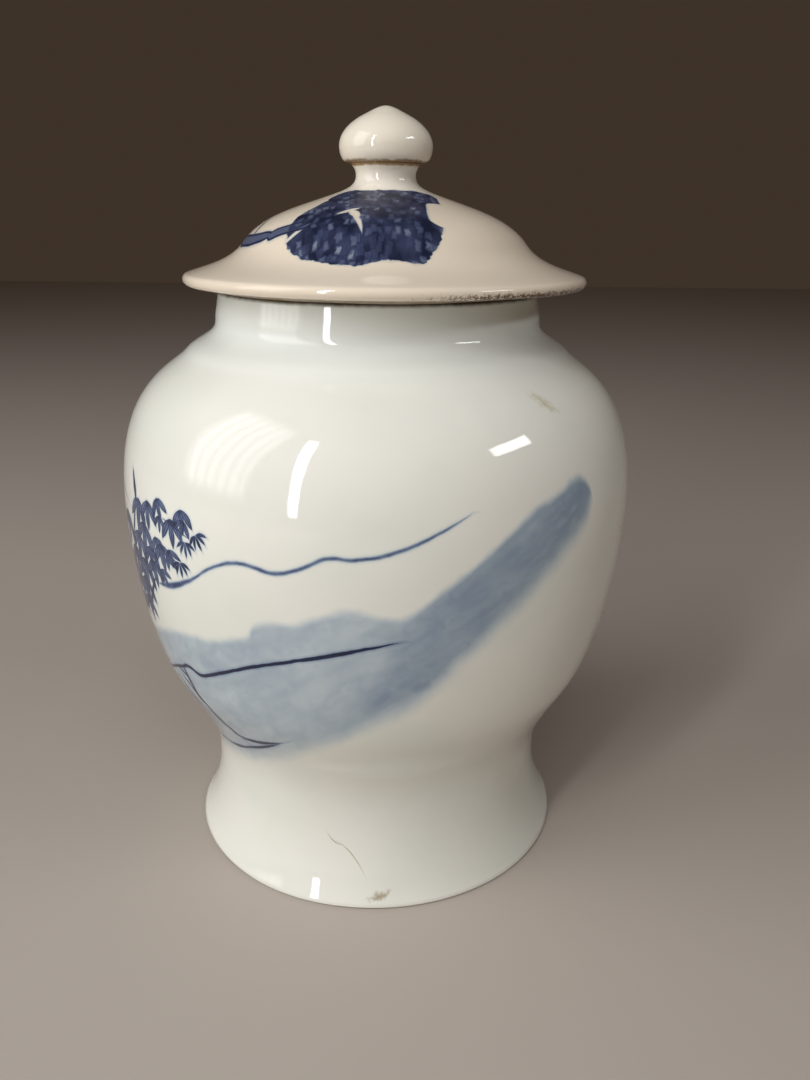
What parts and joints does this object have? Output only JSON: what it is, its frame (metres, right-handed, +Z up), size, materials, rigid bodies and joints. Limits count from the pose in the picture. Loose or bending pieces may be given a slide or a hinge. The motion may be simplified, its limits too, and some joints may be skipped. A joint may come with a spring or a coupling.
{
  "type": "ginger jar",
  "caption": "Glazed porcelain baluster jar with a spreading foot, short neck and a lift-off domed cover with a pointed bud finial, painted in underglaze blue.",
  "frame": {"origin": "on the jar's own axis, level with the floor under its foot", "axes": "+Z up along the jar's axis, -Y towards the painted side that shows the long wash"},
  "size_m": [0.2484, 0.2484, 0.36],
  "materials": {
    "jar_glaze": "gloss",
    "cover_glaze": "gloss",
    "bare_biscuit": "matte"
  },
  "bodies": {
    "jar": {"foot_section": "jar_glaze", "lower_body": "jar_glaze", "upper_body": "jar_glaze", "neck_collar": "jar_glaze"},
    "cover": {"cover_dome": "cover_glaze", "cover_locating_ring": "bare_biscuit", "finial_stem": "cover_glaze", "finial_bud": "cover_glaze"}
  },
  "joints": [
    {"name": "cover_lift", "type": "slide", "parent": "jar", "child": "cover", "axis": [0, 0, 1], "range_m": [0, 0.2]}
  ]
}
